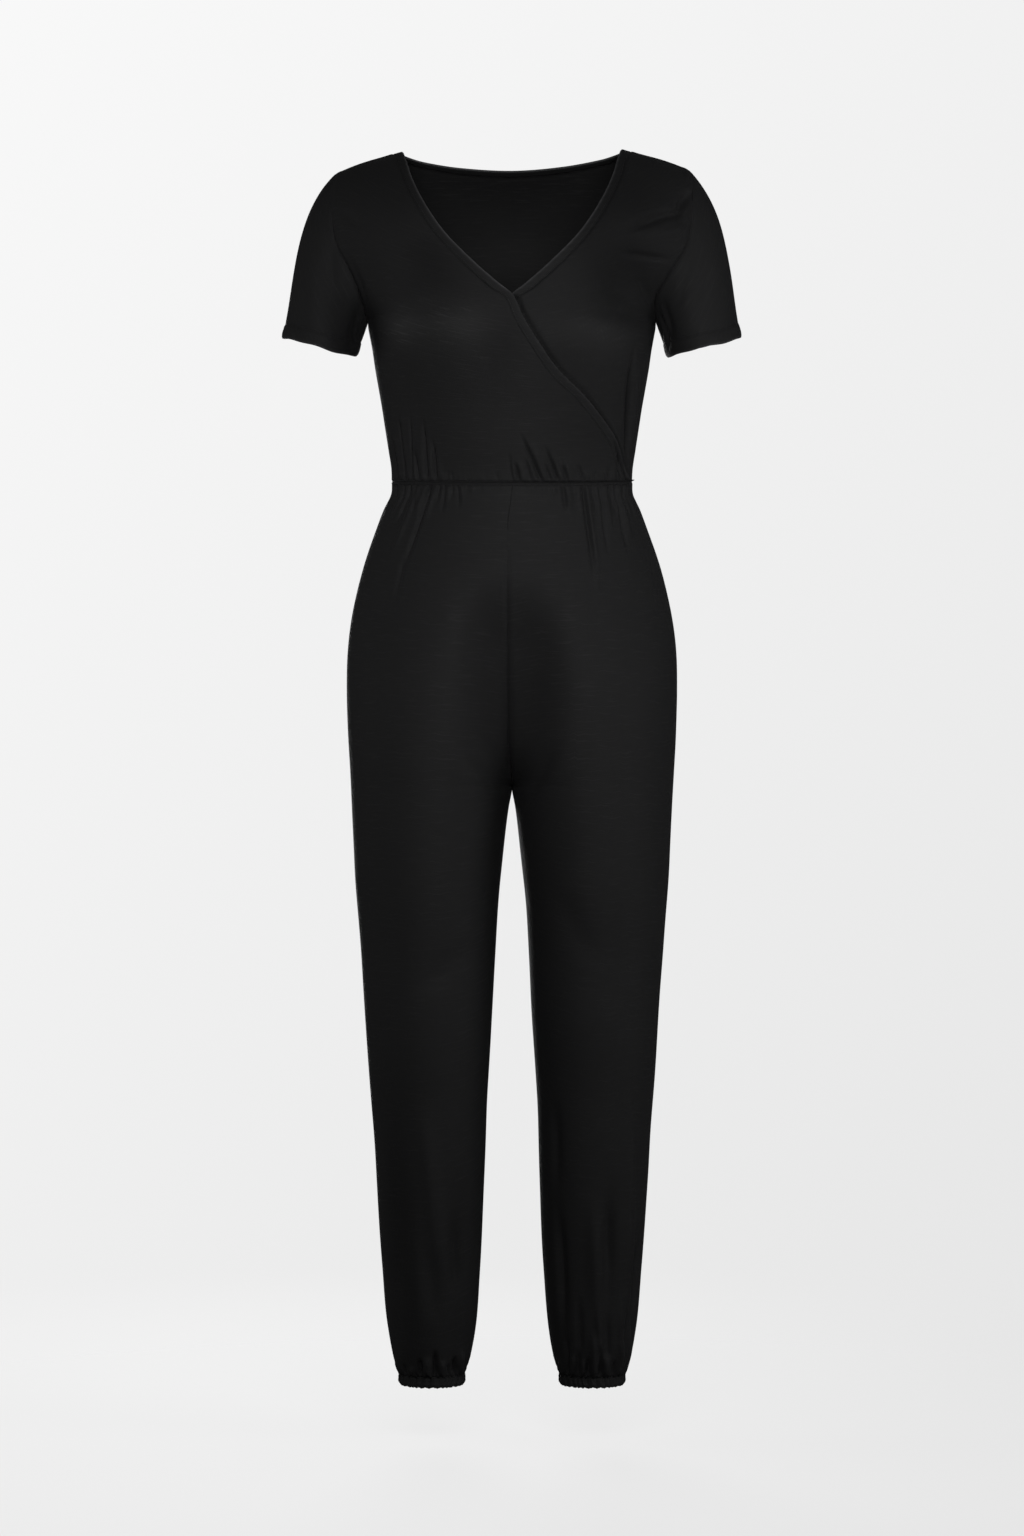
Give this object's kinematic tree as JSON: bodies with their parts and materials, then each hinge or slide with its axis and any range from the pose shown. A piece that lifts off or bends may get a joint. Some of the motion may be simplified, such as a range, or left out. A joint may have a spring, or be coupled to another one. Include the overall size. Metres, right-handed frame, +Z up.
{
  "type": "jumpsuit",
  "caption": "Short-sleeved black jersey jumpsuit with a wrap V neck, elastic waist and gathered ankles, filled out with no wearer.",
  "frame": {"origin": "midway between the two shoulder seams, halfway up their slope, where a wearer's shoulders carry the garment", "axes": "+X to the wearer's left, +Y to the wearer's back, +Z up from the ankles to the neck"},
  "size_m": [0.5108, 0.2607, 1.3819],
  "materials": {
    "jersey": "black fine-gauge slub jersey with a soft sheen",
    "band": "turned and stitched black jersey band"
  },
  "bodies": {
    "root": {"bodice_back": "jersey", "bodice_front_left": "jersey", "bodice_front_right": "jersey", "neck_band_back": "band", "neck_band_left": "band", "neck_band_right": "band", "sleeve_left": "jersey", "sleeve_right": "jersey", "trouser_back_left": "jersey", "trouser_back_right": "jersey", "trouser_front_left": "jersey", "trouser_front_right": "jersey", "waist_elastic": "band", "ankle_casing_left": "jersey", "ankle_casing_right": "jersey"}
  },
  "joints": []
}
